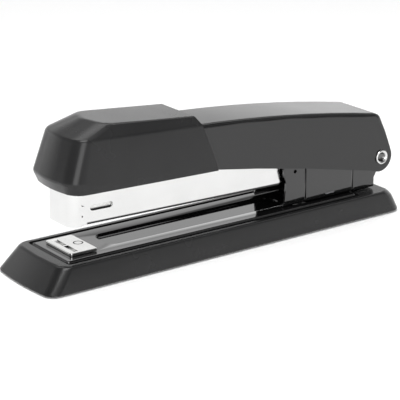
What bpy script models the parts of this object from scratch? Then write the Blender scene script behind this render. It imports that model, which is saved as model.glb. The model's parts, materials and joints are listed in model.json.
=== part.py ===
"""Full-size desk stapler: moulded base, pressed steel upright and arm, chrome magazine, moulded cap.

The nose points along -Y, the hinge is at +Y, and the object is symmetric about X = 0.
The origin is on the table, under the middle of the base.
"""

import math

import bmesh
import bpy
from mathutils import Matrix, Vector

mm = 0.001
GAP = 0.2 * mm            # clearance between pieces that touch
OVERSHOOT = 1.0 * mm      # how far a cutter runs past the face that it opens

# Base moulding
FOOT_HEIGHT = 1.4 * mm
BASE_BOTTOM = 0.6 * mm
BASE_TOP = 9.8 * mm
BASE_FRONT = -83.3 * mm
BASE_REAR = 87.4 * mm
CENTRE = 2.25 * mm        # the base's middle along Y, moved to the origin at the end
CAVITY_TOP = 5.0 * mm
RIM_INNER_HALF = 14.9 * mm

# Base plate
PLATE_THICKNESS = 1.0 * mm
PLATE_TOP = 10.1 * mm
PLATE_BOTTOM = PLATE_TOP - PLATE_THICKNESS
DECK_TOP = PLATE_BOTTOM - GAP
PLATE_FRONT = -70.2 * mm
PLATE_REAR = 66.3 * mm
PLATE_HALF = 13.0 * mm
PLATE_EDGE_RADIUS = 0.8 * mm
CHANNEL_FRONT = -48.0 * mm
CHANNEL_REAR = 36.0 * mm
CHANNEL_HALF = 6.8 * mm
CHANNEL_DEPTH = 1.15 * mm

# Anvil
ANVIL_HALF = 9.15 * mm
ANVIL_FRONT = -66.4 * mm
ANVIL_REAR = -54.9 * mm
ANVIL_BOTTOM = PLATE_TOP + 0.1 * mm
ANVIL_TOP = 11.3 * mm
ANVIL_RIVET_Y = -57.7 * mm
SHANK = 1.1 * mm
SHANK_HOLE = 1.4 * mm
CLINCH_Y = -63.3 * mm

# Hinge
PIVOT_Y = 79.5 * mm
PIVOT_Z = 23.0 * mm
PIN_RADIUS = 2.2 * mm
PIN_RIM = 2.95 * mm
PIN_HOLE = 2.3 * mm

# Upright bracket: a channel in three stretches, each wider than the one in front of it
SHEET = 0.9 * mm
BRACKET_FRONT = 31.0 * mm
BRACKET_REAR = 76.9 * mm
BRACKET_STEPS = ((42.0 * mm, 9.9 * mm), (65.9 * mm, 10.3 * mm), (90.0 * mm, 10.7 * mm))
BRACKET_BEND = 1.3 * mm
BRACKET_FLOOR = PLATE_TOP + GAP
BRACKET_RIVETS_Y = (46.0 * mm, 62.0 * mm)
LUG_SLOT = (51.9 * mm, 56.9 * mm)
LUG_HALF = 10.1 * mm
FLOOR_NOTCH_END = 43.2 * mm
CREASE_DEPTH = 0.35 * mm
CREASE_WIDTH = 0.5 * mm

# Magazine frame: origin near the lower front edge of the channel, tilted down to the rear
MAGAZINE_FRONT = -63.0 * mm
MAGAZINE_ORIGIN = 21.2 * mm
MAGAZINE_TILT = math.radians(-0.91)
TROUGH_BOTTOM = -0.55 * mm
TROUGH_LENGTH = 94.4 * mm
TROUGH_TOP = 12.6 * mm
TROUGH_HALF = 7.7 * mm
TROUGH_WALL = 0.8 * mm
RAIL_HALF = 5.7 * mm
RAIL_BOTTOM = 0.5 * mm
RAIL_TOP = 6.6 * mm
STAPLE_HALF = 6.5 * mm
STAPLE_WIRE = 0.5 * mm
STRIP_LENGTH = 49.6 * mm
FOLLOWER_FRONT = 50.3 * mm
FOLLOWER_REAR = 62.0 * mm
ROD_HEIGHT = 4.3 * mm
ROD_RADIUS = 0.9 * mm
ANCHOR_FRONT = 95.9 * mm
ANCHOR_REAR = 98.4 * mm

# Arm and cap
ARM_HALF = 11.9 * mm
ARM_FRONT = -58.5 * mm
ARM_EDGE_RADIUS = 1.6 * mm
LOBE_RADIUS = 6.1 * mm
CAP_WALL = 1.0 * mm


# ---------------------------------------------------------------- scene and helpers

def clear_scene():
    for obj in list(bpy.data.objects):
        bpy.data.objects.remove(obj, do_unlink=True)


def new_collection(name):
    collection = bpy.data.collections.new(name)
    bpy.context.scene.collection.children.link(collection)
    return collection


def make_material(name, colour, roughness, metallic):
    material = bpy.data.materials.new(name)
    material.use_nodes = True
    shader = material.node_tree.nodes["Principled BSDF"]
    shader.inputs["Base Color"].default_value = (*colour, 1.0)
    shader.inputs["Roughness"].default_value = roughness
    shader.inputs["Metallic"].default_value = metallic
    material.diffuse_color = (*colour, 1.0)
    return material


def new_object(name, mesh, collection, parent=None):
    obj = bpy.data.objects.new(name, mesh)
    collection.objects.link(obj)
    obj.parent = parent
    return obj


def finish(obj, colour, roughness, metallic, smooth_angle=None):
    """Give a piece its material and, for a round piece, smooth shading."""
    obj.data.materials.append(make_material(obj.name, colour, roughness, metallic))
    if smooth_angle is not None:
        obj.data.shade_smooth()
        obj.data.set_sharp_from_angle(angle=math.radians(smooth_angle))
    return obj


def mesh_from(bm, name):
    bmesh.ops.recalc_face_normals(bm, faces=bm.faces)
    mesh = bpy.data.meshes.new(name)
    bm.to_mesh(mesh)
    bm.free()
    return mesh


def box_mesh(name, low, high):
    bm = bmesh.new()
    size = Vector(high) - Vector(low)
    middle = (Vector(high) + Vector(low)) / 2
    bmesh.ops.create_cube(bm, size=1.0, matrix=Matrix.Translation(middle) @ Matrix.Diagonal((*size, 1.0)))
    return mesh_from(bm, name)


AXIS_TURN = {
    "X": Matrix(((0, 0, 1), (1, 0, 0), (0, 1, 0))).to_4x4(),
    "Y": Matrix(((1, 0, 0), (0, 0, -1), (0, 1, 0))).to_4x4(),
    "Z": Matrix.Identity(4),
}


def rod_mesh(name, axis, centre, radius, length, segments=32):
    bm = bmesh.new()
    bmesh.ops.create_cone(bm, cap_ends=True, segments=segments, radius1=radius, radius2=radius,
                          depth=length, matrix=Matrix.Translation(centre) @ AXIS_TURN[axis])
    return mesh_from(bm, name)


def plate_mesh(name, outline, axis, low, high):
    """A flat outline given thickness from low to high along an axis.

    The outline's two numbers are (y, z) for X, (x, z) for Y and (x, y) for Z.
    """
    curve = bpy.data.curves.new(name, "CURVE")
    curve.dimensions = "2D"
    curve.fill_mode = "BOTH"
    curve.extrude = (high - low) / 2
    spline = curve.splines.new("POLY")
    spline.points.add(len(outline) - 1)
    for point, (u, v) in zip(spline.points, outline):
        point.co = (u, v, 0.0, 1.0)
    spline.use_cyclic_u = True
    holder = bpy.data.objects.new(name, curve)
    bpy.context.scene.collection.objects.link(holder)
    holder.matrix_world = AXIS_TURN[axis]
    bpy.context.view_layer.update()
    mesh = bpy.data.meshes.new_from_object(holder.evaluated_get(bpy.context.evaluated_depsgraph_get()))
    middle = (low + high) / 2
    offset = {"X": (middle, 0, 0), "Y": (0, middle, 0), "Z": (0, 0, middle)}[axis]
    mesh.transform(Matrix.Translation(offset) @ holder.matrix_world)
    bpy.data.objects.remove(holder, do_unlink=True)
    bpy.data.curves.remove(curve)
    bm = bmesh.new()
    bm.from_mesh(mesh)
    bpy.data.meshes.remove(mesh)
    bmesh.ops.remove_doubles(bm, verts=bm.verts, dist=1e-6)
    bmesh.ops.dissolve_limit(bm, angle_limit=math.radians(0.5), verts=bm.verts, edges=bm.edges)
    return mesh_from(bm, name)


def loft_mesh(name, rings, closed=True, cap_first=False, cap_last=False):
    """Join rings of equal point count with quads, and fill the end rings where asked."""
    bm = bmesh.new()
    rows = [[bm.verts.new(point) for point in ring] for ring in rings]
    for lower, upper in zip(rows, rows[1:]):
        count = len(lower)
        for i in range(count if closed else count - 1):
            j = (i + 1) % count
            bm.faces.new((lower[i], lower[j], upper[j], upper[i]))
    if cap_first:
        bm.faces.new(list(reversed(rows[0])))
    if cap_last:
        bm.faces.new(rows[-1])
    return mesh_from(bm, name)


def turned(name, profile, axis, centre, collection, parent=None, steps=32):
    """A profile of (radius, height) points, top to bottom on its outer side, turned about an axis."""
    mesh = bpy.data.meshes.new(name)
    edges = [(i, i + 1) for i in range(len(profile) - 1)]
    mesh.from_pydata([(radius, 0.0, height) for radius, height in profile], edges, [])
    obj = new_object(name, mesh, collection, parent)
    obj.matrix_basis = Matrix.Translation(centre) @ AXIS_TURN[axis]
    screw = obj.modifiers.new("turn", "SCREW")
    screw.steps = steps
    screw.render_steps = steps
    screw.use_merge_vertices = True
    screw.merge_threshold = 1e-6
    screw.use_smooth_shade = True
    return obj


def combine(obj, operation, tools):
    """Apply a boolean of each tool mesh to obj. The tools stay as hidden wire objects."""
    for index, mesh in enumerate(tools):
        tool = new_object(f"{obj.name}_{operation.lower()}_{index}", mesh, CUTTERS, obj.parent)
        tool.matrix_basis = obj.matrix_basis
        tool.hide_render = True
        tool.display_type = "WIRE"
        modifier = obj.modifiers.new(f"{operation.lower()} {index}", "BOOLEAN")
        modifier.operation = operation
        modifier.solver = "EXACT"
        modifier.object = tool
    return obj


def round_edges(obj, width, segments=2, angle=30, weighted=False):
    bevel = obj.modifiers.new("round edges", "BEVEL")
    bevel.width = width
    bevel.segments = segments
    bevel.limit_method = "WEIGHT" if weighted else "ANGLE"
    bevel.angle_limit = math.radians(angle)
    return obj


def weight_edges(mesh, chosen):
    """Give a bevel weight to each edge whose two ends satisfy chosen(a, b)."""
    bm = bmesh.new()
    bm.from_mesh(mesh)
    layer = bm.edges.layers.float.new("bevel_weight_edge")
    for edge in bm.edges:
        if chosen(*(vert.co for vert in edge.verts)):
            edge[layer] = 1.0
    bm.to_mesh(mesh)
    bm.free()


def arc(centre, radius, start, end, steps):
    """Points on an arc, angles in degrees."""
    turns = [math.radians(start + (end - start) * i / steps) for i in range(steps + 1)]
    return [(centre[0] + radius * math.cos(t), centre[1] + radius * math.sin(t)) for t in turns]


def rounded_corners(corners, steps=4):
    """A closed outline from (u, v, radius) corners, each replaced by its fillet arc."""
    points = []
    for i, (u, v, radius) in enumerate(corners):
        corner = Vector((u, v))
        if radius <= 0:
            points.append((u, v))
            continue
        before = Vector(corners[i - 1][:2]) - corner
        after = Vector(corners[(i + 1) % len(corners)][:2]) - corner
        half_angle = before.angle(after) / 2
        setback = radius / math.tan(half_angle)
        middle = corner + (before.normalized() + after.normalized()).normalized() * radius / math.sin(half_angle)
        first = corner + before.normalized() * setback - middle
        last = corner + after.normalized() * setback - middle
        sweep = first.angle_signed(last)
        for step in range(steps + 1):
            spoke = first.copy()
            spoke.rotate(Matrix.Rotation(-sweep * step / steps, 2))
            points.append(tuple(middle + spoke))
    return points


def plan_ring(z, half_front, half_rear, front, rear, bow, front_radius, rear_radius, steps=6):
    """A closed plan outline at height z: bowed front edge, rounded corners, tapering sides."""
    flat = half_front - front_radius
    front_edge = [(flat * (2 * i / steps - 1)) for i in range(steps + 1)]
    right = [(x, front + bow * (x / half_front) ** 2) for x in front_edge]
    corner_y = right[-1][1] + front_radius
    right += arc((flat, corner_y), front_radius, -90, 0, steps)[1:]
    right += arc((half_rear - rear_radius, rear - rear_radius), rear_radius, 0, 90, steps)
    left = [(-x, y) for x, y in reversed(right[steps + 1:])]
    return [(x, y, z) for x, y in right + left]


def slot_outline(low_u, high_u, low_v, high_v, steps=6):
    """An outline with round ends, long along u."""
    radius = (high_v - low_v) / 2
    middle = (high_v + low_v) / 2
    return (arc((high_u - radius, middle), radius, -90, 90, steps)
            + arc((low_u + radius, middle), radius, 90, 270, steps))


# ---------------------------------------------------------------- base

def base_shell(collection):
    outer = loft_mesh("base_shell", [
        plan_ring(BASE_BOTTOM, 20.0 * mm, 17.5 * mm, BASE_FRONT, BASE_REAR, 1.6 * mm, 5.0 * mm, 5.0 * mm),
        plan_ring(7.0 * mm, 18.0 * mm, 17.2 * mm, -77.9 * mm, 84.5 * mm, 1.3 * mm, 5.0 * mm, 6.0 * mm),
        plan_ring(8.7 * mm, 17.45 * mm, 17.1 * mm, -76.4 * mm, 82.9 * mm, 1.2 * mm, 5.0 * mm, 6.0 * mm),
        plan_ring(BASE_TOP, 17.1 * mm, 17.0 * mm, -75.5 * mm, 81.2 * mm, 1.2 * mm, 5.0 * mm, 6.0 * mm),
    ], cap_first=True, cap_last=True)
    cavity = loft_mesh("cavity", [
        plan_ring(BASE_BOTTOM - OVERSHOOT, 18.1 * mm, 15.7 * mm, -81.3 * mm, 85.5 * mm,
                  1.6 * mm, 3.5 * mm, 4.5 * mm),
        plan_ring(CAVITY_TOP, 16.6 * mm, 15.4 * mm, -77.0 * mm, 83.2 * mm, 1.4 * mm, 3.5 * mm, 4.5 * mm),
    ], cap_first=True, cap_last=True)
    recess = plate_mesh("recess", recess_outline(), "Z", DECK_TOP, BASE_TOP + OVERSHOOT)
    groove = loft_mesh("groove", channel_rings(PLATE_THICKNESS + GAP, GAP), cap_first=True, cap_last=True)
    pockets = [rod_mesh("pocket", "Z", (0, y, DECK_TOP), 3.0 * mm, 2.6 * mm)
               for y in (ANVIL_RIVET_Y, *BRACKET_RIVETS_Y)]
    bosses = [rod_mesh("boss", "Z", (x, y, (FOOT_HEIGHT + GAP + CAVITY_TOP + OVERSHOOT) / 2),
                       5.2 * mm, CAVITY_TOP + OVERSHOOT - FOOT_HEIGHT - GAP) for x, y in foot_places()]
    obj = new_object("base_shell", outer, collection)
    round_edges(obj, 0.8 * mm, segments=3, angle=30)
    combine(obj, "DIFFERENCE", [cavity])
    combine(obj, "UNION", bosses)
    combine(obj, "DIFFERENCE", [recess, groove, *pockets])
    return finish(obj, (0.018, 0.018, 0.02), 0.38, 0.0, smooth_angle=25)


def foot_places():
    return [(x * 9.5 * mm, y * mm) for y in (-70.0, 72.0) for x in (-1, 1)]


def feet(collection):
    names = ("foot_front_left", "foot_front_right", "foot_rear_left", "foot_rear_right")
    profile = [(0, FOOT_HEIGHT), (4.2 * mm, FOOT_HEIGHT), (4.2 * mm, 0.4 * mm), (3.8 * mm, 0), (0, 0)]
    for name, (x, y) in zip(names, foot_places()):
        obj = turned(name, profile, "Z", (x, y, 0), collection, steps=28)
        finish(obj, (0.03, 0.03, 0.03), 0.85, 0.0)


def plate_outline():
    front_radius = 1.2 * mm
    rear_radius = 2.0 * mm
    return rounded_corners([(-PLATE_HALF, PLATE_FRONT, front_radius), (PLATE_HALF, PLATE_FRONT, front_radius),
                            (PLATE_HALF, PLATE_REAR, rear_radius), (-PLATE_HALF, PLATE_REAR, rear_radius)],
                           steps=6)


def recess_outline():
    front_radius = 1.5 * mm
    rear_radius = 2.5 * mm
    front = PLATE_FRONT - 0.6 * mm
    rear = PLATE_REAR + 0.7 * mm
    return rounded_corners([(-RIM_INNER_HALF, front, front_radius), (RIM_INNER_HALF, front, front_radius),
                            (RIM_INNER_HALF, rear, rear_radius), (-RIM_INNER_HALF, rear, rear_radius)],
                           steps=6)


def channel_rings(skin, margin):
    """Two rings of the plate's channel, floor and mouth, grown outwards by a skin and a margin."""
    side = skin + margin
    draft = 0.3 * mm
    floor = PLATE_TOP - CHANNEL_DEPTH - side
    mouth = PLATE_TOP + OVERSHOOT if skin == 0 else PLATE_TOP - PLATE_THICKNESS / 2
    radius = 4.0 * mm
    return [
        plan_ring(z, half + side, half + side, CHANNEL_FRONT - side + inset, CHANNEL_REAR + side - inset,
                  0, radius, radius)
        for z, half, inset in ((floor, CHANNEL_HALF - draft, draft), (mouth, CHANNEL_HALF, 0))]


def base_plate(collection):
    slab = plate_mesh("base_plate", plate_outline(), "Z", PLATE_BOTTOM, PLATE_TOP)
    weight_edges(slab, lambda a, b: min(a.z, b.z) > PLATE_TOP - 1e-6)
    tray = loft_mesh("tray", channel_rings(PLATE_THICKNESS, 0), cap_first=True, cap_last=True)
    hollow = loft_mesh("hollow", channel_rings(0, 0), cap_first=True, cap_last=True)
    holes = [rod_mesh("hole", "Z", (0, y, PLATE_TOP), SHANK_HOLE, 6 * mm)
             for y in (ANVIL_RIVET_Y, *BRACKET_RIVETS_Y)]
    obj = new_object("base_plate", slab, collection)
    round_edges(obj, PLATE_EDGE_RADIUS, segments=3, weighted=True)
    combine(obj, "UNION", [tray])
    combine(obj, "DIFFERENCE", [hollow, *holes])
    return finish(obj, (0.03, 0.03, 0.032), 0.22, 0.4)


def anvil(collection):
    radius = 0.9 * mm
    outline = rounded_corners([(-ANVIL_HALF, ANVIL_FRONT, radius), (ANVIL_HALF, ANVIL_FRONT, radius),
                               (ANVIL_HALF, ANVIL_REAR, radius), (-ANVIL_HALF, ANVIL_REAR, radius)])
    block = plate_mesh("anvil", outline, "Z", ANVIL_BOTTOM, ANVIL_TOP)
    pocket_depth = 0.65 * mm
    pocket_width = 1.9 * mm
    pocket_half = 3.6 * mm
    curve = (pocket_half ** 2 + pocket_depth ** 2) / (2 * pocket_depth)
    pockets = [rod_mesh("bending_pocket", "Y", (sign * 4.0 * mm, CLINCH_Y, ANVIL_TOP + curve - pocket_depth),
                        curve, pocket_width, segments=96) for sign in (-1, 1)]
    head_well = rod_mesh("head_well", "Z", (0, ANVIL_RIVET_Y, ANVIL_TOP), 1.95 * mm, 1.3 * mm)
    shank_hole = rod_mesh("shank_hole", "Z", (0, ANVIL_RIVET_Y, ANVIL_TOP), SHANK_HOLE, 8 * mm)
    obj = new_object("anvil", block, collection)
    round_edges(obj, 0.2 * mm, segments=2, angle=40)
    combine(obj, "DIFFERENCE", pockets + [head_well, shank_hole])
    return finish(obj, (0.8, 0.8, 0.8), 0.12, 1.0)


def rivet(name, y, top, head_radius, head_height, bottom, collection):
    """A rivet on the centre line: upper head down from top, shank, lower head ending at bottom."""
    lower_radius = 2.4 * mm
    lower_head = 0.8 * mm
    profile = [(0, top), (head_radius - 0.2 * mm, top), (head_radius, top - 0.2 * mm),
               (head_radius, top - head_height), (SHANK, top - head_height), (SHANK, bottom + lower_head),
               (lower_radius, bottom + lower_head), (lower_radius - 0.3 * mm, bottom), (0, bottom)]
    obj = turned(name, profile, "Z", (0, y, 0), collection, steps=28)
    return finish(obj, (0.72, 0.72, 0.72), 0.25, 1.0)


def base_rivets(collection):
    under = PLATE_BOTTOM - GAP - 0.8 * mm
    head = 0.8 * mm
    floor_top = BRACKET_FLOOR + SHEET + GAP
    leaf_top = floor_top + LEAF + GAP
    rivet("anvil_rivet", ANVIL_RIVET_Y, ANVIL_TOP, 1.75 * mm, 0.45 * mm, under, collection)
    rivet("bracket_rivet_front", BRACKET_RIVETS_Y[0], floor_top + head, 2.6 * mm, head, under, collection)
    rivet("bracket_rivet_rear", BRACKET_RIVETS_Y[1], leaf_top + head, 2.6 * mm, head, under, collection)


def channel_section(half, y, top):
    """Cross-section of a sheet channel at y: up the outside of one wall, round the bends and down."""
    bend = BRACKET_BEND
    inner_bend = bend - SHEET
    floor = BRACKET_FLOOR
    outside = ([(half, top)] + arc((half - bend, floor + bend), bend, 0, -90, 5)
               + arc((bend - half, floor + bend), bend, -90, -180, 5) + [(-half, top)])
    inside = ([(SHEET - half, top)] + arc((bend - half, floor + bend), inner_bend, -180, -90, 5)
              + arc((half - bend, floor + bend), inner_bend, -90, 0, 5) + [(half - SHEET, top)])
    return [(x, y, z) for x, z in outside + inside]


def pivot_bracket(collection):
    ear = 5.2 * mm
    top = 28.0 * mm
    joggle = 0.3 * mm
    sections = [(BRACKET_STEPS[0][1], BRACKET_FRONT - OVERSHOOT)]
    for (end, half), (_, next_half) in zip(BRACKET_STEPS, BRACKET_STEPS[1:]):
        sections += [(half, end - joggle), (next_half, end + joggle)]
    sections.append((BRACKET_STEPS[-1][1], BRACKET_STEPS[-1][0]))
    rings = [channel_section(half, y, top + 4 * mm) for half, y in sections]
    side = ([(BRACKET_FRONT, BRACKET_FLOOR - OVERSHOOT), (BRACKET_REAR, BRACKET_FLOOR - OVERSHOOT),
             (BRACKET_REAR, 14.6 * mm), (BRACKET_REAR + 1.2 * mm, 16.6 * mm),
             (PIVOT_Y + 1.0 * mm, PIVOT_Z - ear)]
            + arc((PIVOT_Y, PIVOT_Z), ear, -70, 100, 10)
            + [(70.0 * mm, top), (32.0 * mm, top), (BRACKET_FRONT, top - 1.5 * mm), (BRACKET_FRONT, 23.8 * mm),
               (32.2 * mm, 19.8 * mm), (31.6 * mm, 13.0 * mm)])
    side_shape = plate_mesh("side_shape", side, "X", -14 * mm, 14 * mm)
    slots = [box_mesh("slot", (sign * 6 * mm, LUG_SLOT[0], LUG_BOTTOM - GAP),
                      (sign * 12 * mm, LUG_SLOT[1], LUG_BOTTOM + LEAF + GAP)) for sign in (-1, 1)]
    pin_hole = rod_mesh("pin_hole", "X", (0, PIVOT_Y, PIVOT_Z), PIN_HOLE, 30 * mm)
    gauge_hole = rod_mesh("gauge_hole", "X", (0, 36.6 * mm, 24.1 * mm), 0.8 * mm, 30 * mm, segments=16)
    rivet_holes = [rod_mesh("rivet_hole", "Z", (0, y, BRACKET_FLOOR), SHANK_HOLE, 6 * mm)
                   for y in BRACKET_RIVETS_Y]
    inner_half = BRACKET_STEPS[0][1] - SHEET
    floor_notch = box_mesh("floor_notch", (-inner_half, BRACKET_FRONT - OVERSHOOT, BRACKET_FLOOR - OVERSHOOT),
                           (inner_half, FLOOR_NOTCH_END, BRACKET_FLOOR + SHEET + 0.1 * mm))
    creases = [box_mesh("crease", (sign * (half - CREASE_DEPTH), end - CREASE_WIDTH, BRACKET_FLOOR + BRACKET_BEND),
                        (sign * 14 * mm, end, top + OVERSHOOT))
               for end, half in BRACKET_STEPS[:2] for sign in (-1, 1)]
    obj = new_object("pivot_bracket", loft_mesh("pivot_bracket", rings, cap_first=True, cap_last=True),
                     collection)
    combine(obj, "INTERSECT", [side_shape])
    combine(obj, "DIFFERENCE", [pin_hole, gauge_hole, floor_notch, *creases, *slots, *rivet_holes])
    return finish(obj, (0.035, 0.035, 0.038), 0.35, 0.3, smooth_angle=25)


LEAF = 0.5 * mm
LUG_BOTTOM = BRACKET_FLOOR + SHEET + GAP + 0.4 * mm


def leaf_mesh(name, path, half, thickness):
    """A strip of spring steel that follows a path of (y, z) points, thickness measured downwards."""
    lower = [(y, z - thickness) for y, z in path]
    return plate_mesh(name, path + lower[::-1], "X", -half, half)


def smooth_drop(start, end, steps=8):
    """Points from start to end that leave and arrive level, like a bent leaf."""
    points = []
    for i in range(steps + 1):
        t = i / steps
        ease = t * t * (3 - 2 * t)
        points.append((start[0] + (end[0] - start[0]) * t, start[1] + (end[1] - start[1]) * ease))
    return points


def lifter_spring(collection):
    """Leaf from the upright's floor up to the magazine's rear stop."""
    floor = BRACKET_FLOOR + SHEET + GAP + LEAF
    tip = magazine_point(0, (ANCHOR_FRONT + ANCHOR_REAR) / 2, ANCHOR_BOTTOM)
    path = [(67.0 * mm, floor)] + smooth_drop((56.5 * mm, floor), (tip.y, tip.z - GAP))
    path.append((tip.y - 1.8 * mm, tip.z - GAP - 0.6 * mm))
    obj = new_object("lifter_spring", leaf_mesh("lifter_spring", path, 4.5 * mm, LEAF), collection)
    hole = rod_mesh("leaf_hole", "Z", (0, BRACKET_RIVETS_Y[1], floor), SHANK_HOLE, 4 * mm)
    lug = box_mesh("lug", (-LUG_HALF, LUG_SLOT[0] + GAP, LUG_BOTTOM),
                   (LUG_HALF, LUG_SLOT[1] - GAP, LUG_BOTTOM + LEAF))
    combine(obj, "UNION", [lug])
    combine(obj, "DIFFERENCE", [hole])
    return finish(obj, (0.35, 0.36, 0.38), 0.35, 1.0)


def pivot_pin(collection):
    """Hinge rivet: a shank between two heads, each a raised ring round a shallow dish."""
    inner = ARM_HALF + GAP
    outer = inner + 0.6 * mm
    ring = 0.38 * mm
    dish = 1.95 * mm
    head = [(0, outer - 1.5 * mm), (0.9 * mm, outer - 1.45 * mm), (1.5 * mm, outer - 1.2 * mm),
            (dish, outer - 0.3 * mm)]
    head += arc((PIN_RIM - ring, outer - ring), ring, 130, 0, 5)
    head += [(PIN_RIM, outer - ring - 0.1 * mm), (PIN_RIM, inner), (PIN_RADIUS, inner)]
    profile = head + [(radius, -height) for radius, height in reversed(head)]
    obj = turned("pivot_pin", profile, "X", (0, PIVOT_Y, PIVOT_Z), collection, steps=36)
    return finish(obj, (0.78, 0.78, 0.78), 0.15, 1.0)


# ---------------------------------------------------------------- magazine

ANCHOR_BOTTOM = 2.2 * mm


def magazine_frame(collection):
    frame = bpy.data.objects.new("magazine_frame", None)
    collection.objects.link(frame)
    frame.location = (0, MAGAZINE_FRONT, MAGAZINE_ORIGIN)
    frame.rotation_euler = (MAGAZINE_TILT, 0, 0)
    bpy.context.view_layer.update()
    return frame


def magazine_matrix():
    return Matrix.Translation((0, MAGAZINE_FRONT, MAGAZINE_ORIGIN)) @ Matrix.Rotation(MAGAZINE_TILT, 4, "X")


def magazine_point(x, along, up):
    return magazine_matrix() @ Vector((x, along, up))


def pivot_in_magazine():
    return magazine_matrix().inverted() @ Vector((0, PIVOT_Y, PIVOT_Z))


def magazine_channel(collection, frame):
    pivot = pivot_in_magazine()
    ear = 4.6 * mm
    neck_bottom = 7.3 * mm
    tab = TROUGH_LENGTH + 1.4 * mm
    side = (rounded_corners([(0, TROUGH_BOTTOM, 0), (TROUGH_LENGTH, TROUGH_BOTTOM, 2.2 * mm),
                             (TROUGH_LENGTH, 2.4 * mm, 0), (tab, 2.6 * mm, 0), (tab, 4.2 * mm, 0), (TROUGH_LENGTH, 4.4 * mm, 0),
                             (TROUGH_LENGTH, neck_bottom, 0), (pivot.y - 9 * mm, neck_bottom, 0)])
            + [(pivot.y - ear * 0.77, pivot.z - ear * 0.64)]
            + arc((pivot.y, pivot.z), ear, -120, 75, 12)
            + [(pivot.y - 26 * mm, TROUGH_TOP), (0, TROUGH_TOP)])
    solid = plate_mesh("magazine_channel", side, "X", -TROUGH_HALF, TROUGH_HALF)
    weight_edges(solid, lambda a, b: abs(a.x - b.x) < 1e-6 and max(a.z, b.z) < TROUGH_BOTTOM + 1e-6)
    inner_half = TROUGH_HALF - TROUGH_WALL
    inside = box_mesh("inside", (-inner_half, -OVERSHOOT, TROUGH_BOTTOM + TROUGH_WALL),
                      (inner_half, pivot.y + 10 * mm, TROUGH_TOP + OVERSHOOT))
    lower_inside = box_mesh("lower_inside", (-inner_half, TROUGH_LENGTH + OVERSHOOT / 2, -2 * mm),
                            (inner_half, pivot.y + 10 * mm, 5 * mm))
    window = plate_mesh("window", slot_outline(6.0 * mm, 15.8 * mm, 4.4 * mm, 6.7 * mm), "X",
                        -20 * mm, 20 * mm)
    pin_hole = rod_mesh("pin_hole", "X", pivot, PIN_HOLE, 30 * mm)
    rivet_holes = [rod_mesh("rivet_hole", "Z", (0, along, 0), 1.3 * mm, 6 * mm) for along in RAIL_RIVETS]
    dimple = rod_mesh("dimple", "X", (0, 2.5 * mm, 2.9 * mm), 0.4 * mm, 30 * mm, segments=12)
    obj = new_object("magazine_channel", solid, collection, frame)
    round_edges(obj, 1.2 * mm, segments=4, weighted=True)
    combine(obj, "DIFFERENCE", [inside, lower_inside, window, dimple, pin_hole, *rivet_holes])
    return finish(obj, (0.82, 0.82, 0.82), 0.14, 1.0)


RAIL_RIVETS = (12.0 * mm, 40.0 * mm)


def nose_plate(collection, frame):
    wall = 0.8 * mm
    outer_half = 8.8 * mm
    front = -3.0 * mm
    rear = 1.7 * mm
    low = TROUGH_BOTTOM
    radius = 3.8 * mm
    tongues = [box_mesh("tongue", (sign * (outer_half - wall), rear - OVERSHOOT, 3.7 * mm),
                        (sign * outer_half, rear + 1.2 * mm, 7.1 * mm)) for sign in (-1, 1)]
    outer = rounded_corners([(-outer_half, front, radius), (outer_half, front, radius),
                             (outer_half, rear, 0), (-outer_half, rear, 0)], steps=6)
    inner_half = outer_half - wall
    inner = rounded_corners([(-inner_half, front + wall, radius - wall),
                             (inner_half, front + wall, radius - wall),
                             (inner_half, rear + OVERSHOOT, 0), (-inner_half, rear + OVERSHOOT, 0)], steps=6)
    obj = new_object("nose_plate", plate_mesh("nose_plate", outer, "Z", low, TROUGH_TOP), collection, frame)
    combine(obj, "DIFFERENCE", [plate_mesh("inside", inner, "Z", low - OVERSHOOT, TROUGH_TOP + OVERSHOOT)])
    combine(obj, "UNION", tongues)
    return finish(obj, (0.84, 0.84, 0.84), 0.12, 1.0, smooth_angle=35)


def staple_rail(collection, frame):
    front = 0.3 * mm
    rear = 93.6 * mm
    wall = 0.8 * mm
    solid = box_mesh("staple_rail", (-RAIL_HALF, front, RAIL_BOTTOM), (RAIL_HALF, rear, RAIL_TOP))
    inside = box_mesh("inside", (wall - RAIL_HALF, front + wall, RAIL_BOTTOM + wall),
                      (RAIL_HALF - wall, rear + OVERSHOOT, RAIL_TOP + OVERSHOOT))
    holes = [rod_mesh("rivet_hole", "Z", (0, along, RAIL_BOTTOM), 1.3 * mm, 6 * mm) for along in RAIL_RIVETS]
    obj = new_object("staple_rail", solid, collection, frame)
    combine(obj, "DIFFERENCE", [inside, *holes])
    return finish(obj, (0.55, 0.55, 0.56), 0.3, 1.0)


def rail_rivets(collection, frame):
    shank = 1.0 * mm
    head = 1.9 * mm
    head_top = TROUGH_BOTTOM - GAP
    low = head_top - 0.5 * mm
    top = RAIL_BOTTOM + 0.8 * mm + GAP + 0.6 * mm
    profile = [(0, top), (head - 0.2 * mm, top), (head, top - 0.6 * mm), (shank, top - 0.6 * mm),
               (shank, head_top), (head, head_top), (head - 0.2 * mm, low), (0, low)]
    for name, along in zip(("rail_rivet_front", "rail_rivet_rear"), RAIL_RIVETS):
        obj = turned(name, profile, "Z", (0, along, 0), collection, frame, steps=20)
        finish(obj, (0.75, 0.75, 0.75), 0.2, 1.0)


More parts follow.
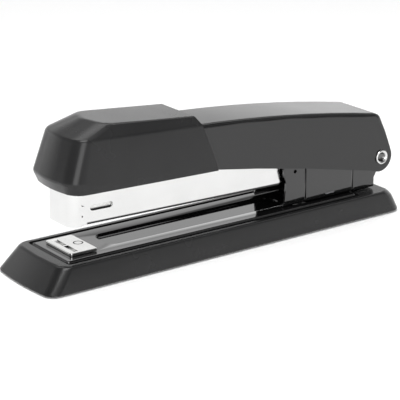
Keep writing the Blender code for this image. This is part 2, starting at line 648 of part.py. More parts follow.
def staple_strip(collection, frame):
    front = 0.4 * mm
    crown_bottom = RAIL_TOP + GAP
    crown_top = crown_bottom + STAPLE_WIRE
    leg_bottom = TROUGH_BOTTOM + TROUGH_WALL + 0.5 * mm
    solid = box_mesh("staple_strip", (-STAPLE_HALF, front, leg_bottom), (STAPLE_HALF, STRIP_LENGTH, crown_top))
    inner = STAPLE_HALF - STAPLE_WIRE
    inside = box_mesh("inside", (-inner, front - OVERSHOOT, leg_bottom - OVERSHOOT),
                      (inner, STRIP_LENGTH + OVERSHOOT, crown_bottom))
    obj = new_object("staple_strip", solid, collection, frame)
    combine(obj, "DIFFERENCE", [inside])
    return finish(obj, (0.62, 0.62, 0.6), 0.3, 1.0)


def guide_rod(collection, frame):
    start = 1.4 * mm
    end = ANCHOR_REAR + 1.2 * mm
    mesh = rod_mesh("guide_rod", "Y", (0, (start + end) / 2, ROD_HEIGHT), ROD_RADIUS, end - start, segments=16)
    obj = new_object("guide_rod", mesh, collection, frame)
    return finish(obj, (0.6, 0.6, 0.6), 0.25, 1.0, smooth_angle=40)


def spring_anchor(collection, frame):
    half = TROUGH_HALF - TROUGH_WALL - GAP
    solid = box_mesh("spring_anchor", (-half, ANCHOR_FRONT, ANCHOR_BOTTOM), (half, ANCHOR_REAR, 10.4 * mm))
    hole = rod_mesh("rod_hole", "Y", (0, ANCHOR_REAR, ROD_HEIGHT), ROD_RADIUS + GAP, 8 * mm, segments=16)
    obj = new_object("spring_anchor", solid, collection, frame)
    round_edges(obj, 0.4 * mm, angle=40)
    combine(obj, "DIFFERENCE", [hole])
    return finish(obj, (0.05, 0.05, 0.05), 0.4, 0.0)


# ---------------------------------------------------------------- follower

def follower(collection, frame):
    top = RAIL_TOP + GAP
    roof = 1.1 * mm
    leg_bottom = 1.4 * mm
    saddle_inner = STAPLE_HALF - STAPLE_WIRE
    solid = box_mesh("follower", (-STAPLE_HALF, FOLLOWER_FRONT, leg_bottom),
                     (STAPLE_HALF, FOLLOWER_REAR, top + roof))
    inside = box_mesh("inside", (-saddle_inner, FOLLOWER_FRONT - OVERSHOOT, leg_bottom - OVERSHOOT),
                      (saddle_inner, FOLLOWER_REAR + OVERSHOOT, top))
    tongue = box_mesh("tongue", (-2.4 * mm, FOLLOWER_REAR - 6 * mm, 2.5 * mm),
                      (2.4 * mm, FOLLOWER_REAR, top + roof / 2))
    grip = box_mesh("grip", (-3.6 * mm, FOLLOWER_REAR - 2.6 * mm, top + roof / 2),
                    (3.6 * mm, FOLLOWER_REAR - 0.6 * mm, 11.2 * mm))
    rod_hole = rod_mesh("rod_hole", "Y", (0, FOLLOWER_REAR, ROD_HEIGHT), ROD_RADIUS + GAP, 30 * mm, segments=16)
    obj = new_object("follower", solid, collection, frame)
    combine(obj, "DIFFERENCE", [inside])
    combine(obj, "UNION", [tongue, grip])
    combine(obj, "DIFFERENCE", [rod_hole])
    return finish(obj, (0.04, 0.04, 0.04), 0.4, 0.0)


def follower_spring(collection, frame):
    start = FOLLOWER_REAR + GAP + 0.3 * mm
    end = ANCHOR_FRONT - GAP - 0.3 * mm
    turns = 16
    points_per_turn = 10
    coil_radius = 1.75 * mm
    count = turns * points_per_turn
    curve = bpy.data.curves.new("follower_spring", "CURVE")
    curve.dimensions = "3D"
    curve.bevel_depth = 0.25 * mm
    curve.bevel_resolution = 2
    curve.use_fill_caps = True
    spline = curve.splines.new("POLY")
    spline.points.add(count)
    for i, point in enumerate(spline.points):
        angle = 2 * math.pi * i / points_per_turn
        along = start + (end - start) * i / count
        point.co = (coil_radius * math.cos(angle), along, ROD_HEIGHT + coil_radius * math.sin(angle), 1.0)
    obj = new_object("follower_spring", curve, collection, frame)
    obj.data.materials.append(make_material("follower_spring", (0.5, 0.5, 0.5), 0.3, 1.0))
    return obj


# ---------------------------------------------------------------- arm

def arm_top(y):
    """Height of the arm's top: straight under the cap, then arching down towards the hinge."""
    arch_start = -9.0 * mm
    start_height = 51.3 * mm
    slope = -0.045
    curvature = -0.79          # per metre
    run = max(y - arch_start, 0)
    return start_height + slope * (y - arch_start) + curvature * run * run


ARM_REAR_TOP = 78.6 * mm
ARM_BACK_LOW = (84.4 * mm, 26.6 * mm)


def arm_top_path(inset, steps=12):
    start = ARM_FRONT - (OVERSHOOT * 3 if inset else 0)
    end = ARM_REAR_TOP - 2.6 * mm
    path = []
    for i in range(steps + 1):
        y = start + (end - start) * i / steps
        path.append((y, arm_top(y) - inset))
    return path


def arm_shell(collection):
    back_top = (ARM_REAR_TOP, arm_top(ARM_REAR_TOP) - 0.6 * mm)
    back = Vector(ARM_BACK_LOW) - Vector(back_top)
    back_normal = Vector((-back.y, back.x)).normalized()
    outer_path = arm_top_path(0)
    lower = [(ARM_FRONT, 42.0 * mm), (-20.0 * mm, 35.2 * mm), (-1.9 * mm, 32.3 * mm), (15.4 * mm, 29.6 * mm),
             (40.4 * mm, 25.1 * mm), (74.1 * mm, 18.1 * mm)]
    lobe = arc((PIVOT_Y - 0.6 * mm, PIVOT_Z), LOBE_RADIUS, -100, 25, 12)
    corner = rounded_corners([(*outer_path[-1], 0), (*back_top, 2.4 * mm), (*ARM_BACK_LOW, 0)])[1:-1]
    side = lower + lobe + list(reversed(corner)) + list(reversed(outer_path))
    solid = plate_mesh("arm_shell", side, "X", -ARM_HALF, ARM_HALF)

    wall_end = Vector(back_top).lerp(Vector(ARM_BACK_LOW), 0.68)
    inner_back_top = Vector(back_top) + back_normal * -SHEET
    inner_wall_end = wall_end + back_normal * -SHEET
    inner_path = arm_top_path(SHEET)
    hollow_side = ([(inner_path[0][0], 5 * mm), (95 * mm, 5 * mm), (95 * mm, inner_wall_end.y),
                    tuple(inner_wall_end), (inner_back_top.x, inner_back_top.y - SHEET)]
                   + list(reversed(inner_path[:-1])))
    inner_half = ARM_HALF - SHEET
    hollow = plate_mesh("hollow", hollow_side, "X", -inner_half, inner_half)
    pin_hole = rod_mesh("pin_hole", "X", (0, PIVOT_Y, PIVOT_Z), PIN_HOLE, 40 * mm)
    rivet_holes = [rod_mesh("rivet_hole", "Z", (0, y, 50 * mm), 1.4 * mm, 12 * mm) for y in ARM_RIVETS]

    def on_top(point):
        on_back = point.y > back_top[0] - 3 * mm and point.z > 29 * mm
        return on_back or point.z > arm_top(point.y) - 0.1 * mm

    weight_edges(solid, lambda a, b: abs(a.x - b.x) < 1e-6 and on_top(a) and on_top(b))
    obj = new_object("arm_shell", solid, collection)
    round_edges(obj, ARM_EDGE_RADIUS, segments=3, weighted=True)
    combine(obj, "DIFFERENCE", [hollow, pin_hole, *rivet_holes])
    return finish(obj, (0.02, 0.02, 0.022), 0.25, 0.0, smooth_angle=28)


ARM_RIVETS = (-50.0 * mm, -22.0 * mm)
DRIVER_FLANGE_END = -44.0 * mm
BLADE_THICKNESS = 0.6 * mm
LEAF_FLAT_END = -14.0 * mm


def under_arm(y):
    """Height just under the arm's sheet at y, clear of it."""
    return arm_top(y) - SHEET - GAP


def cap_ring(half_front, half_rear, front, rear, bow, radius, height, fall, steps=6):
    """An open ring round the cap from rear left to rear right. It is open at the arm.

    height is the ring's height at its front, and fall is how much it drops per metre rearwards.
    """
    flat = half_front - radius
    right = [(flat * i / 3, front + bow * (i / 3) ** 2) for i in range(4)]
    right += arc((flat, right[-1][1] + radius), radius, -90, 0, steps)[1:]
    corner_y = right[-1][1]
    middle_y = (corner_y + rear) / 2
    middle_half = half_front + (half_rear - half_front) * 0.35
    right += [(middle_half, middle_y), (half_rear, rear)]
    left = [(-x, y) for x, y in reversed(right[1:])]
    return [(x, y, height - fall * (y - front)) for x, y in left + right]


def front_cap(collection):
    bottom = cap_ring(14.4 * mm, 13.9 * mm, -69.0 * mm, -3.6 * mm, 0.8 * mm, 6.0 * mm, 34.5 * mm, 0.026)
    crease = cap_ring(15.3 * mm, 13.9 * mm, -70.9 * mm, -4.6 * mm, 1.0 * mm, 6.4 * mm, 38.6 * mm, 0.036)
    shoulder = cap_ring(13.5 * mm, 13.2 * mm, -65.9 * mm, -10.4 * mm, 1.0 * mm, 6.2 * mm, 54.2 * mm, 0.050)
    top = cap_ring(11.1 * mm, 11.2 * mm, -54.6 * mm, -12.8 * mm, 1.0 * mm, 7.0 * mm, 58.5 * mm, 0.085)
    obj = new_object("front_cap", loft_mesh("front_cap", [bottom, crease, shoulder, top],
                                            closed=False, cap_last=True), collection)
    round_edges(obj, 0.8 * mm, segments=2, angle=17)
    shell = obj.modifiers.new("wall", "SOLIDIFY")
    shell.thickness = CAP_WALL
    shell.offset = -1.0
    shell.use_even_offset = True
    return finish(obj, (0.02, 0.02, 0.022), 0.3, 0.0, smooth_angle=30)


def driver_blade(collection):
    """L-shaped blade: a flange under the arm's top and a blade that leans forward to the staples."""
    half = 6.2 * mm
    thickness = BLADE_THICKNESS
    tip = (-63.95 * mm, 30.8 * mm)
    flange_top = under_arm(DRIVER_FLANGE_END)
    top = (-63.4 * mm, flange_top)
    outline = [tip, (tip[0] + thickness, tip[1]), (top[0] + thickness, flange_top - thickness),
               (DRIVER_FLANGE_END, flange_top - thickness), (DRIVER_FLANGE_END, flange_top), top]
    obj = new_object("driver_blade", plate_mesh("driver_blade", outline, "X", -half, half), collection)
    combine(obj, "DIFFERENCE", [rod_mesh("rivet_hole", "Z", (0, ARM_RIVETS[0], flange_top), 1.4 * mm, 4 * mm)])
    return finish(obj, (0.6, 0.6, 0.6), 0.25, 1.0)


def arm_spring(collection):
    """Leaf from the arm's top down to the magazine's rear stop."""
    top = under_arm(LEAF_FLAT_END)
    rest = magazine_point(0, (ANCHOR_FRONT + ANCHOR_REAR) / 2, 10.4 * mm)
    path = [(-28.0 * mm, top)] + smooth_drop((LEAF_FLAT_END, top), (rest.y, rest.z + GAP + LEAF))
    path.append((rest.y + 2.0 * mm, rest.z + GAP + LEAF + 0.6 * mm))
    obj = new_object("arm_spring", leaf_mesh("arm_spring", path, 4.5 * mm, LEAF), collection)
    combine(obj, "DIFFERENCE", [rod_mesh("leaf_hole", "Z", (0, ARM_RIVETS[1], top), 1.4 * mm, 4 * mm)])
    return finish(obj, (0.35, 0.36, 0.38), 0.35, 1.0)


def arm_rivets(collection):
    shank = 1.1 * mm
    head = 2.2 * mm
    head_height = 0.7 * mm
    grips = (("driver_rivet", ARM_RIVETS[0], under_arm(DRIVER_FLANGE_END) - BLADE_THICKNESS),
             ("arm_spring_rivet", ARM_RIVETS[1], under_arm(LEAF_FLAT_END) - LEAF))
    for name, y, held_bottom in grips:
        over = arm_top(y) + 0.35 * mm
        under = held_bottom - GAP
        profile = [(0, over + head_height), (head - 0.3 * mm, over + head_height), (head, over), (shank, over),
                   (shank, under), (head, under), (head - 0.3 * mm, under - head_height),
                   (0, under - head_height)]
        finish(turned(name, profile, "Z", (0, y, 0), collection, steps=20), (0.7, 0.7, 0.7), 0.25, 1.0)


# ---------------------------------------------------------------- assembly

clear_scene()
CUTTERS = new_collection("cutters")
STAPLER = new_collection("stapler")

base_shell(STAPLER)
feet(STAPLER)
base_plate(STAPLER)
anvil(STAPLER)
base_rivets(STAPLER)
pivot_bracket(STAPLER)
lifter_spring(STAPLER)
pivot_pin(STAPLER)

magazine = magazine_frame(STAPLER)
magazine_channel(STAPLER, magazine)
nose_plate(STAPLER, magazine)
staple_rail(STAPLER, magazine)
rail_rivets(STAPLER, magazine)
staple_strip(STAPLER, magazine)
guide_rod(STAPLER, magazine)
spring_anchor(STAPLER, magazine)
follower(STAPLER, magazine)
follower_spring(STAPLER, magazine)

arm_shell(STAPLER)
front_cap(STAPLER)
driver_blade(STAPLER)
arm_spring(STAPLER)
arm_rivets(STAPLER)

for piece in (*STAPLER.objects, *CUTTERS.objects):
    if piece.parent is None:
        piece.location.y -= CENTRE
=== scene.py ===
"""Desk stapler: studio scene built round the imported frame."""

import json
import math

import bmesh
import bpy
from mathutils import Matrix, Vector
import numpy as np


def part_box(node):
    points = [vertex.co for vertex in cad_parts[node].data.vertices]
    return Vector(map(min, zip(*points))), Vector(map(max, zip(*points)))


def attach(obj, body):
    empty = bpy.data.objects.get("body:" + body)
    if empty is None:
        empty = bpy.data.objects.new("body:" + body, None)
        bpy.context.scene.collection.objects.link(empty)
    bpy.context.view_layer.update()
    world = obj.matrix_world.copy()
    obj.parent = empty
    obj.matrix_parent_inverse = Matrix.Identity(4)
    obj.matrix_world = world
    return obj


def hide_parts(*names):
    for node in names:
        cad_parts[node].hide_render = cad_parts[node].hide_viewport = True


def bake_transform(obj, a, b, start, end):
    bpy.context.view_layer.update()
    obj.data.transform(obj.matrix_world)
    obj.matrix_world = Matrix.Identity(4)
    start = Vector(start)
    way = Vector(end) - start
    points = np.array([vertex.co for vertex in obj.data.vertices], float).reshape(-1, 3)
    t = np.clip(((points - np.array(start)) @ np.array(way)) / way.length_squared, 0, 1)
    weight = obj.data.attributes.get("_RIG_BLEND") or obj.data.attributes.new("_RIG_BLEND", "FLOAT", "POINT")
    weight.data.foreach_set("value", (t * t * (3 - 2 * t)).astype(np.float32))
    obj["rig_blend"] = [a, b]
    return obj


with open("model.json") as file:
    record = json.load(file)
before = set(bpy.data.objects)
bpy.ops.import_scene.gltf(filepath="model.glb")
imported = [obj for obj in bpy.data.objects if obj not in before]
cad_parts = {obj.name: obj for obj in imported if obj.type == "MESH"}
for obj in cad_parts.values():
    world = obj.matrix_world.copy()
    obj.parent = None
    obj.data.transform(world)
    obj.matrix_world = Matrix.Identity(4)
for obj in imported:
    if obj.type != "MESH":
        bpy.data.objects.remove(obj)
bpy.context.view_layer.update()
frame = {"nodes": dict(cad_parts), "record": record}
NODES = frame["nodes"]
mm = 0.001


# ---------------------------------------------------------------- camera

CAMERA_AZIMUTH = 54.45              # degrees from the nose's direction towards +X
CAMERA_ELEVATION = 18.4             # degrees
CAMERA_DISTANCE = 0.6666            # metres from its target
CAMERA_TARGET = (0.0, -0.00458, 0.01715)
CAMERA_LENS = 155.4                 # millimetres, on a 36 mm sensor


def direction(azimuth, elevation):
    """Unit vector from the object towards a place given in degrees."""
    azimuth = math.radians(azimuth)
    elevation = math.radians(elevation)
    flat = math.cos(elevation)
    return Vector((math.sin(azimuth) * flat, -math.cos(azimuth) * flat, math.sin(elevation)))


def make_camera():
    offset = direction(CAMERA_AZIMUTH, CAMERA_ELEVATION)
    data = bpy.data.cameras.new("camera")
    data.sensor_width = 36.0
    data.lens = CAMERA_LENS
    data.clip_start = 0.01
    data.clip_end = 20.0
    camera = bpy.data.objects.new("camera", data)
    bpy.context.scene.collection.objects.link(camera)
    camera.location = Vector(CAMERA_TARGET) + offset * CAMERA_DISTANCE
    camera.rotation_euler = (-offset).to_track_quat("-Z", "Y").to_euler()
    bpy.context.scene.camera = camera


# ---------------------------------------------------------------- node material helpers

def node_material(name):
    material = bpy.data.materials.new(name)
    material.use_nodes = True
    tree = material.node_tree
    shader = tree.nodes["Principled BSDF"]
    return material, tree, shader


def noise(tree, coordinates, scale, detail, stretch=None):
    node = tree.nodes.new("ShaderNodeTexNoise")
    node.inputs["Scale"].default_value = scale
    node.inputs["Detail"].default_value = detail
    node.inputs["Roughness"].default_value = 0.5
    if stretch:
        mapping = tree.nodes.new("ShaderNodeMapping")
        mapping.inputs["Scale"].default_value = stretch
        tree.links.new(coordinates, mapping.inputs["Vector"])
        coordinates = mapping.outputs["Vector"]
    tree.links.new(coordinates, node.inputs["Vector"])
    return node.outputs["Fac"]


NOISE_LOW = 0.3                     # most of a noise texture's values lie between these two
NOISE_HIGH = 0.7


def remap(tree, value, low, high, from_low=NOISE_LOW, from_high=NOISE_HIGH):
    node = tree.nodes.new("ShaderNodeMapRange")
    node.inputs["From Min"].default_value = from_low
    node.inputs["From Max"].default_value = from_high
    node.inputs["To Min"].default_value = low
    node.inputs["To Max"].default_value = high
    tree.links.new(value, node.inputs["Value"])
    return node.outputs["Result"]


def bump(tree, shader, height, distance):
    node = tree.nodes.new("ShaderNodeBump")
    node.inputs["Distance"].default_value = distance
    node.inputs["Strength"].default_value = 1.0
    tree.links.new(height, node.inputs["Height"])
    tree.links.new(node.outputs["Normal"], shader.inputs["Normal"])


def colour_mix(tree, factor, first, second):
    """Mix two colours, each of which is a fixed colour or another node's output."""
    node = tree.nodes.new("ShaderNodeMix")
    node.data_type = "RGBA"
    for socket, value in ((node.inputs["A"], first), (node.inputs["B"], second)):
        if isinstance(value, bpy.types.NodeSocket):
            tree.links.new(value, socket)
        else:
            socket.default_value = (*value, 1.0)
    tree.links.new(factor, node.inputs["Factor"])
    return node.outputs["Result"]


def object_coordinates(tree):
    return tree.nodes.new("ShaderNodeTexCoord").outputs["Object"]


def black_gloss(name, base, rough, grain, depth, ior=1.5):
    """Dark paint or moulded plastic: faint mottling in colour and gloss over a fine surface grain."""
    material, tree, shader = node_material(name)
    where = object_coordinates(tree)
    cloud = noise(tree, where, 60.0, detail=3.0)
    fine = noise(tree, where, grain, detail=2.0)
    light = tuple(c * 1.2 for c in base)
    mottled = colour_mix(tree, remap(tree, cloud, 0.0, 1.0), base, light)
    tree.links.new(mottled, shader.inputs["Base Color"])
    tree.links.new(remap(tree, cloud, rough * 0.93, rough * 1.07), shader.inputs["Roughness"])
    bump(tree, shader, fine, depth)
    shader.inputs["IOR"].default_value = ior
    return material


def metal(name, colour, rough, grain, depth, stretch=(1.0, 1.0, 1.0)):
    """Bare or plated metal: faint clouding in colour, and drawing marks in gloss and surface."""
    material, tree, shader = node_material(name)
    where = object_coordinates(tree)
    cloud = noise(tree, where, 90.0, detail=3.0)
    drawn = noise(tree, where, grain, detail=3.0, stretch=stretch)
    dark = tuple(c * 0.93 for c in colour)
    clouded = colour_mix(tree, remap(tree, cloud, 0.0, 1.0), dark, colour)
    tree.links.new(clouded, shader.inputs["Base Color"])
    tree.links.new(remap(tree, drawn, rough * 0.7, rough * 1.4), shader.inputs["Roughness"])
    bump(tree, shader, drawn, depth)
    shader.inputs["Metallic"].default_value = 1.0
    return material


def assign(node, material):
    obj = NODES[node]
    obj.data.materials.clear()
    obj.data.materials.append(material)


# ---------------------------------------------------------------- pieces that stand for CAD nodes

RECORD = frame["record"]
SLOT_OF = {entry["node"]: entry["material_slot"] for entry in RECORD["subparts"]}
BODY_OF = {node: body for body, nodes in RECORD["behaviour"]["bodies"].items() for node in nodes}
TILT = math.radians(-0.91)          # the magazine slopes down to the rear at rest

# Each pair bounds a fade, measured from the piece's lowest or foremost point. The painted shade along
# the magazine's lower edge and the painted shade on the staples' legs are dark below the first height
# and plain above the second; the magazine's painted shade starts behind the front.
PAINTED_SHADE_LINE = (0.7 * mm, 0.95 * mm)
PAINTED_SHADE_START = (4.4 * mm, 4.8 * mm)
PAINTED_SHADE_LEGS = (4.0 * mm, 4.4 * mm)

STAPLE_WIRE = 0.5 * mm
STAPLE_CORNER = 0.8 * mm            # outer radius of a staple's shoulders
WIRE_EDGE = 0.07 * mm               # softened edge of each wire
WIRE_GAP = 0.03 * mm                # between one wire and the next
SHOULDER_STEPS = 4                  # segments in a staple's rounded shoulder

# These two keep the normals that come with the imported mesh, for the highlights that they give. All
# other smooth copies work their normals out again.
KEEPS_IMPORTED_NORMALS = ("base_plate", "pivot_bracket")


def new_piece(name, mesh, material):
    obj = bpy.data.objects.new(name, mesh)
    bpy.context.scene.collection.objects.link(obj)
    mesh.materials.clear()
    mesh.materials.append(material)
    return obj


def stand_for(obj, node):
    """Show obj in place of a CAD node and, unless it blends between two bodies, put it on the node's body.
    """
    if "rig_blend" not in obj:
        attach(obj, BODY_OF[node])
    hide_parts(node)


def rounded_copy(node, material, angle):
    """The node's own surface with shading that runs smoothly over its fillets and round parts."""
    bm = bmesh.new()
    bm.from_mesh(NODES[node].data)
    bmesh.ops.remove_doubles(bm, verts=bm.verts, dist=1e-6)
    bmesh.ops.recalc_face_normals(bm, faces=bm.faces)
    mesh = bpy.data.meshes.new(node + "_shown")
    bm.to_mesh(mesh)
    bm.free()
    obj = new_piece(node + "_shown", mesh, material)
    if node not in KEEPS_IMPORTED_NORMALS and "custom_normal" in mesh.attributes:
        mesh.attributes.remove(mesh.attributes["custom_normal"])
    mesh.shade_smooth()
    mesh.set_sharp_from_angle(angle=math.radians(angle))
    weighted = obj.modifiers.new("weighted", "WEIGHTED_NORMAL")
    weighted.keep_sharp = True
    return obj


def staple_ring(half, low, high, y, inset):
    """One cross-section of a staple at y: an inverted U with round shoulders, shrunk by inset."""
    outer = []
    inner = []
    for i in range(SHOULDER_STEPS + 1):
        turn = math.pi / 2 * i / SHOULDER_STEPS
        for side, reach in ((outer, STAPLE_CORNER - inset), (inner, STAPLE_CORNER - STAPLE_WIRE + inset)):
            side.append((half - STAPLE_CORNER + reach * math.cos(turn),
                         high - STAPLE_CORNER + reach * math.sin(turn)))
    right = [(half - inset, low)] + outer
    right_inner = [(half - STAPLE_WIRE + inset, low)] + inner
    loop = right + [(-x, z) for x, z in reversed(right)]
    loop += [(-x, z) for x, z in right_inner] + [(x, z) for x, z in reversed(right_inner)]
    return [(x, y, z) for x, z in loop]


def levelled(node):
    """Lowest and highest corners of a magazine piece in the magazine's own tilted axes."""
    level = Matrix.Rotation(TILT, 4, "X")
    points = [level.inverted() @ v.co for v in NODES[node].data.vertices]
    low = Vector([min(p[axis] for p in points) for axis in range(3)])
    high = Vector([max(p[axis] for p in points) for axis in range(3)])
    return low, high


def make_staples(material):
    """The strip as its separate wires, each with softened edges."""
    low, high = levelled("staple_strip")
    count = round((high.y - low.y) / STAPLE_WIRE)
    pitch = (high.y - low.y) / count
    bm = bmesh.new()
    for i in range(count):
        start = low.y + pitch * i
        end = start + pitch - WIRE_GAP
        stations = ((start, WIRE_EDGE), (start + WIRE_EDGE, 0.0), (end - WIRE_EDGE, 0.0), (end, WIRE_EDGE))
        rings = [[bm.verts.new(co) for co in staple_ring(high.x, low.z, high.z, y, inset)]
                 for y, inset in stations]
        size = len(rings[0])
        for near, far in zip(rings, rings[1:]):
            for j in range(size):
                k = (j + 1) % size
                bm.faces.new((near[j], near[k], far[k], far[j]))
        bm.faces.new(list(reversed(rings[0])))
        bm.faces.new(rings[-1])
    bmesh.ops.recalc_face_normals(bm, faces=bm.faces)
    bm.transform(Matrix.Rotation(TILT, 4, "X"))
    mesh = bpy.data.meshes.new("staples")
    bm.to_mesh(mesh)
    bm.free()
    obj = new_piece("staples", mesh, material)
    mesh.shade_smooth()
    mesh.set_sharp_from_angle(angle=math.radians(50))
    stand_for(obj, "staple_strip")


def levelled_position(tree):
    """Object coordinates turned into the magazine's tilted axes, as separate X, Y and Z."""
    turn = tree.nodes.new("ShaderNodeMapping")
    turn.vector_type = "TEXTURE"
    turn.inputs["Rotation"].default_value = (TILT, 0.0, 0.0)
    tree.links.new(object_coordinates(tree), turn.inputs["Vector"])
    split = tree.nodes.new("ShaderNodeSeparateXYZ")
    tree.links.new(turn.outputs["Vector"], split.inputs[0])
    return split.outputs


def product(tree, first, second):
    node = tree.nodes.new("ShaderNodeMath")
    node.operation = "MULTIPLY"
    tree.links.new(first, node.inputs[0])
    tree.links.new(second, node.inputs[1])
    return node.outputs[0]


def darken(tree, amount, colour):
    """Mix a darker colour over the shader's present base colour where amount is 1."""
    shader = tree.nodes["Principled BSDF"]
    plain = shader.inputs["Base Color"].links[0].from_socket
    tree.links.new(colour_mix(tree, amount, plain, colour), shader.inputs["Base Color"])


def steel_with_painted_shade():
    """The magazine's bright plating with painted shade, a dark line along its lower edge behind the nose."""
    material = metal("channel_steel", BRIGHT_COLOUR, 0.14, 900.0, 0.000002, stretch=(1.0, 0.08, 1.0))
    tree = material.node_tree
    low = levelled("magazine_channel")[0]
    position = levelled_position(tree)
    # Painted shade: a dark line along the magazine's lower edge, starting behind the nose.
    shade_line = remap(tree, position["Z"], 1.0, 0.0, low.z + PAINTED_SHADE_LINE[0], low.z + PAINTED_SHADE_LINE[1])
    behind_nose = remap(tree, position["Y"], 0.0, 1.0, low.y + PAINTED_SHADE_START[0], low.y + PAINTED_SHADE_START[1])
    darken(tree, product(tree, shade_line, behind_nose), (0.04, 0.04, 0.04))
    return material


def staple_wire_with_painted_shade():
    """Staple wire with painted shade on the lower part of its legs."""
    material = metal("staple_wire", (0.74, 0.74, 0.73), 0.24, 1500.0, 0.000003)
    tree = material.node_tree
    low = levelled("staple_strip")[0]
    height = levelled_position(tree)["Z"]
    # Painted shade: the staples' legs are dark below a set height.
    shaded_legs = remap(tree, height, 1.0, 0.0, low.z + PAINTED_SHADE_LEGS[0], low.z + PAINTED_SHADE_LEGS[1])
    darken(tree, shaded_legs, (0.06, 0.06, 0.06))
    return material


def ringed(name, node, axis, fade, amounts, colour):
    """Bright steel darkened on one side of a ring round the node's centre line along axis.

    The two radii of fade bound the change, and amounts say how dark it is inside and outside them.
    """
    material = metal(name, colour, 0.14, 1100.0, 0.000002)
    tree = material.node_tree
    low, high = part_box(node)
    centre = (Vector(low) + Vector(high)) / 2
    offset = tree.nodes.new("ShaderNodeVectorMath")
    offset.operation = "SUBTRACT"
    tree.links.new(object_coordinates(tree), offset.inputs[0])
    offset.inputs[1].default_value = centre
    flat = tree.nodes.new("ShaderNodeVectorMath")
    flat.operation = "MULTIPLY"
    tree.links.new(offset.outputs["Vector"], flat.inputs[0])
    flat.inputs[1].default_value = [0.0 if k == axis else 1.0 for k in range(3)]
    length = tree.nodes.new("ShaderNodeVectorMath")
    length.operation = "LENGTH"
    tree.links.new(flat.outputs["Vector"], length.inputs[0])
    darken(tree, remap(tree, length.outputs["Value"], *amounts, *fade), tuple(c * 0.2 for c in colour))
    return material


def make_flexing(node, material, near, far, start, end):
    """A spring that follows one body at its start and the other at its end."""
    obj = rounded_copy(node, material, 35)
    obj.modifiers.clear()
    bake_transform(obj, near, far, start=start, end=end)
    stand_for(obj, node)


def middle(node, face):
    """The middle of one Y end of a node: face 0 is its front and 1 its rear."""
    low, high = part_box(node)
    return ((low[0] + high[0]) / 2, (low[1], high[1])[face], (low[2] + high[2]) / 2)


make_camera()

BASE_PLASTIC = black_gloss("base_plastic", (0.012, 0.012, 0.0123), 0.26, 2600.0, 0.00001, ior=1.4)
CAP_PLASTIC = black_gloss("cap_plastic", (0.013, 0.013, 0.0133), 0.26, 2600.0, 0.00001, ior=1.38)
PAINTED_SHEET = black_gloss("painted_sheet", (0.005, 0.005, 0.0052), 0.07, 900.0, 0.000002, ior=1.7)
PAINTED_ARM = black_gloss("painted_arm", (0.0055, 0.0055, 0.0057), 0.2, 1400.0, 0.000006, ior=1.54)
RUBBER = black_gloss("foot_rubber", (0.02, 0.02, 0.02), 0.7, 3000.0, 0.00002)
INNER_PLASTIC = black_gloss("inner_plastic", (0.025, 0.025, 0.025), 0.4, 2400.0, 0.00001)
BRIGHT_COLOUR = (0.71, 0.71, 0.705)
ANVIL_COLOUR = (0.66, 0.66, 0.65)
X_AXIS = 0
Z_AXIS = 2
DARK_INSIDE = (1.0, 0.0)
DARK_OUTSIDE = (0.0, 1.0)
BRIGHT = metal("bright_steel", BRIGHT_COLOUR, 0.14, 900.0, 0.000002, stretch=(1.0, 0.08, 1.0))
ANVIL_STEEL = metal("anvil_steel", ANVIL_COLOUR, 0.12, 1100.0, 0.000002)
PLAIN = metal("plain_steel", (0.62, 0.62, 0.61), 0.3, 1200.0, 0.000004)
SPRING = metal("spring_steel", (0.4, 0.4, 0.42), 0.3, 1200.0, 0.000003, stretch=(1.0, 0.1, 1.0))

FINISH = {
    "base_plastic": BASE_PLASTIC, "foot_rubber": RUBBER, "painted_sheet": PAINTED_SHEET,
    "painted_arm": PAINTED_ARM, "cap_plastic": CAP_PLASTIC, "inner_plastic": INNER_PLASTIC,
    "bright_steel": BRIGHT, "plain_steel": PLAIN, "spring_steel": SPRING,
}
for part, slot_name in SLOT_OF.items():
    assign(part, FINISH[slot_name])
assign("anvil", ANVIL_STEEL)
RIVET_STEEL = ringed("rivet_steel", "anvil_rivet", Z_AXIS, (1.35 * mm, 1.5 * mm), DARK_OUTSIDE, ANVIL_COLOUR)
assign("anvil_rivet", RIVET_STEEL)

ROUNDED = {
    "base_shell": 32, "front_cap": 32, "arm_shell": 32, "pivot_bracket": 32, "base_plate": 32,
    "nose_plate": 32, "lifter_spring": 35, "arm_spring": 35,
}
for part, sharp in ROUNDED.items():
    stand_for(rounded_copy(part, FINISH[SLOT_OF[part]], sharp), part)
stand_for(rounded_copy("magazine_channel", steel_with_painted_shade(), 32), "magazine_channel")
make_staples(staple_wire_with_painted_shade())
# Painted shade: the pin's end is darkened inside the dish's radius, standing in for its dark recessed
# middle.
PIN_STEEL = ringed("pin_steel", "pivot_pin", X_AXIS, (1.75 * mm, 2.0 * mm), DARK_INSIDE, BRIGHT_COLOUR)
stand_for(rounded_copy("pivot_pin", PIN_STEEL, 70), "pivot_pin")
make_flexing("follower_spring", SPRING, "follower", "magazine", middle("follower_spring", 0),
             middle("follower_spring", 1))


# ---------------------------------------------------------------- floor and light

FLOOR_HALF = 3.0                    # metres


def make_floor():
    bm = bmesh.new()
    bmesh.ops.create_grid(bm, x_segments=2, y_segments=2, size=FLOOR_HALF)
    mesh = bpy.data.meshes.new("floor")
    bm.to_mesh(mesh)
    bm.free()
    floor = bpy.data.objects.new("floor", mesh)
    bpy.context.scene.collection.objects.link(floor)
    material, tree, shader = node_material("floor")
    shader.inputs["Base Color"].default_value = (0.92, 0.92, 0.92, 1.0)
    shader.inputs["Roughness"].default_value = 0.9
    shader.inputs["Specular IOR Level"].default_value = 0.1
    shader.inputs["Emission Color"].default_value = (1.0, 1.0, 1.0, 1.0)
    shader.inputs["Emission Strength"].default_value = 0.1
    mesh.materials.append(material)


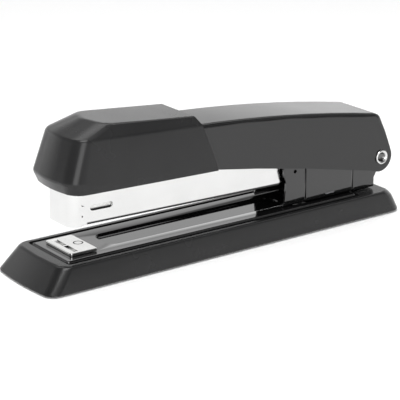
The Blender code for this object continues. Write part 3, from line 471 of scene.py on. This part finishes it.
def height_ramp(tree, height, stops):
    """Grey level against the sine of the elevation, which runs from 0 at the horizon to 1 overhead."""
    node = tree.nodes.new("ShaderNodeValToRGB")
    ramp = node.color_ramp
    ramp.interpolation = "EASE"
    while len(ramp.elements) < len(stops):
        ramp.elements.new(0.5)
    for element, (degrees, _) in zip(ramp.elements, stops):
        element.position = math.sin(math.radians(degrees))
    for element, (_, level) in zip(ramp.elements, stops):
        element.color = (level, level, level, 1.0)
    tree.links.new(height, node.inputs["Fac"])
    return node.outputs["Color"]


# Brightness of the surroundings by elevation in degrees. BEHIND holds for the side beyond the object,
# and BESIDE for the rest, with its dim band between the pale floor and the softboxes.
BEHIND = (
    (0.0, 1.3), (5.0, 1.5), (9.0, 1.3), (12.6, 0.82), (15.5, 1.12), (19.0, 1.28), (22.0, 1.15),
    (27.0, 0.68), (33.0, 0.45), (38.0, 0.33), (44.0, 0.6), (52.0, 1.8), (62.0, 3.4),
)
BESIDE = (
    (0.0, 0.9), (6.0, 0.85), (12.0, 0.2), (22.0, 0.15),
    (30.0, 0.6), (36.0, 0.35), (43.0, 0.05), (70.0, 0.1),
)
BEHIND_DIRECTION = (-0.813, 0.582, 0.0)
BEHIND_FADE = (0.12, 0.4)           # dot products between which BESIDE gives way to BEHIND


def make_sky():
    world = bpy.data.worlds.new("studio")
    world.use_nodes = True
    tree = world.node_tree
    outward = tree.nodes.new("ShaderNodeTexCoord").outputs["Generated"]
    split = tree.nodes.new("ShaderNodeSeparateXYZ")
    tree.links.new(outward, split.inputs[0])
    away = tree.nodes.new("ShaderNodeVectorMath")
    away.operation = "DOT_PRODUCT"
    tree.links.new(outward, away.inputs[0])
    away.inputs[1].default_value = BEHIND_DIRECTION
    side = tree.nodes.new("ShaderNodeMapRange")
    side.interpolation_type = "SMOOTHSTEP"
    side.inputs["From Min"].default_value = BEHIND_FADE[0]
    side.inputs["From Max"].default_value = BEHIND_FADE[1]
    tree.links.new(away.outputs["Value"], side.inputs["Value"])
    beside = height_ramp(tree, split.outputs["Z"], BESIDE)
    behind = height_ramp(tree, split.outputs["Z"], BEHIND)
    surroundings = colour_mix(tree, side.outputs["Result"], beside, behind)
    tree.links.new(surroundings, tree.nodes["Background"].inputs["Color"])
    bpy.context.scene.world = world
    bpy.context.scene.view_settings.view_transform = "Standard"


def make_lamp(name, azimuth, elevation, distance, size, radiance):
    """A square softbox that faces the object."""
    data = bpy.data.lights.new(name, "AREA")
    data.shape = "SQUARE"
    data.size = size
    data.energy = radiance * math.pi * size * size
    lamp = bpy.data.objects.new(name, data)
    offset = direction(azimuth, elevation)
    lamp.location = offset * distance
    lamp.rotation_euler = offset.to_track_quat("Z", "Y").to_euler()
    bpy.context.scene.collection.objects.link(lamp)


make_floor()
make_sky()
make_lamp("key", 56.0, 16.0, 1.0, 0.5, 3.6)
make_lamp("overhead", 52.0, 67.0, 1.0, 0.6, 6.8)
